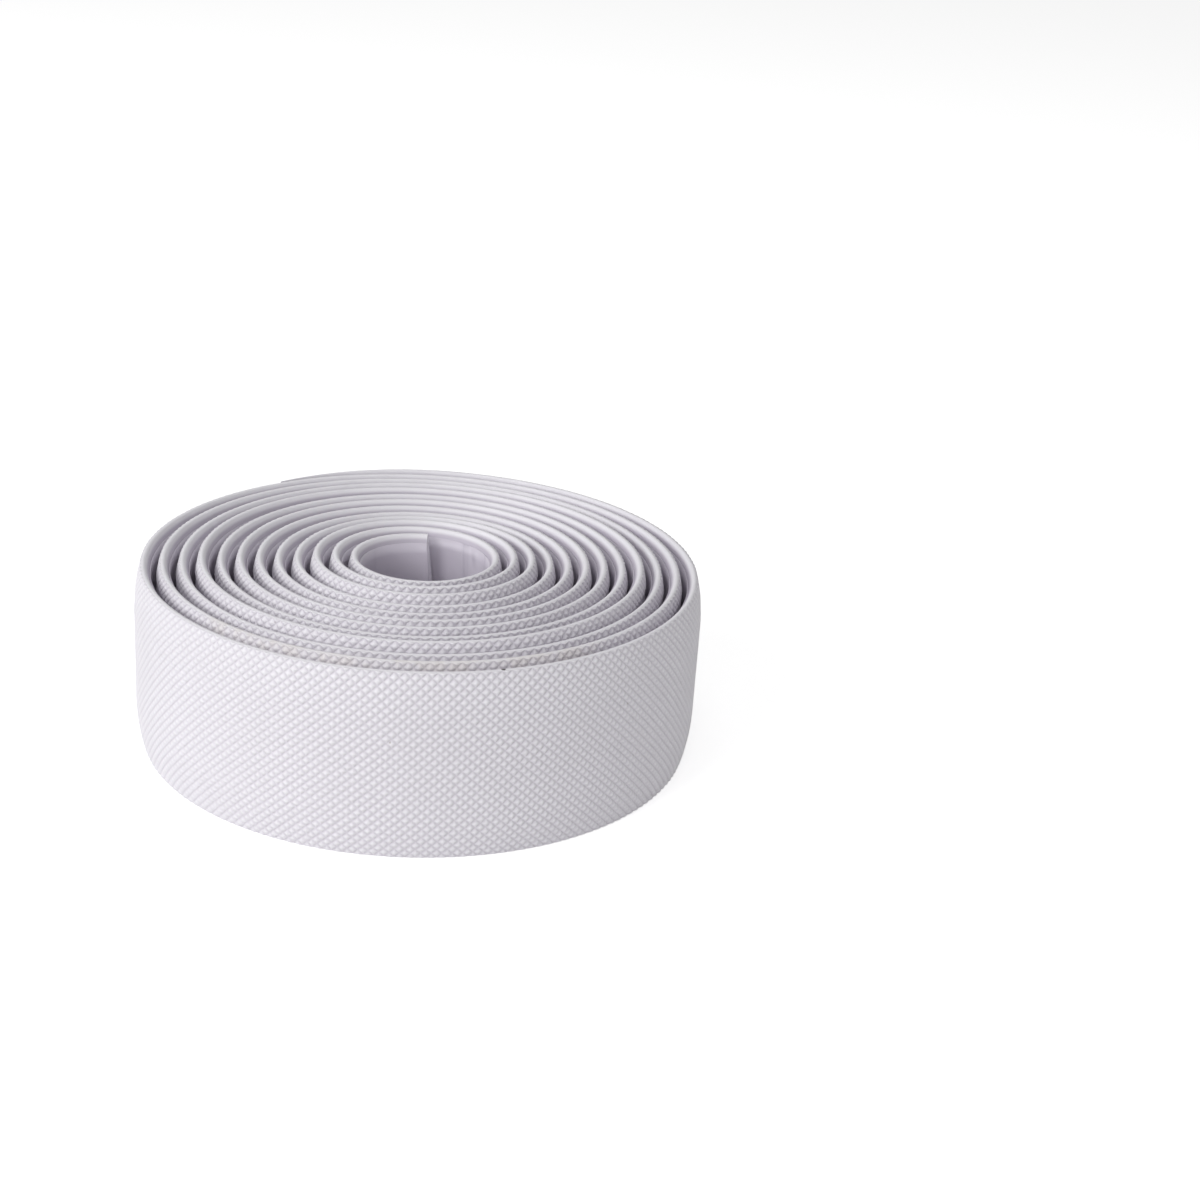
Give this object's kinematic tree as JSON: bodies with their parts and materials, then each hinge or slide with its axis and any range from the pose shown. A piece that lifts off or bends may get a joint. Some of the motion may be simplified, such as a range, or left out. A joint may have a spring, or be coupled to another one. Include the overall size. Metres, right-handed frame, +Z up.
{
  "type": "handlebar tape roll",
  "caption": "Roll of white cushioned bicycle handlebar tape with a fine diamond grain, wound on itself round an open eye and lying flat",
  "frame": {"origin": "The bottom centre of the roll's box, on the surface that it lies on", "axes": "+Z up along the roll's axis, +X to the right and +Y away from the viewer as the picture sees it"},
  "size_m": [0.092, 0.094, 0.0307],
  "materials": {
    "tape": "satin white foam with a pressed diamond grain",
    "liner": "smooth pale violet release paper with fine creases"
  },
  "bodies": {
    "root": {"tape": "tape", "release_liner": "liner"}
  },
  "joints": []
}
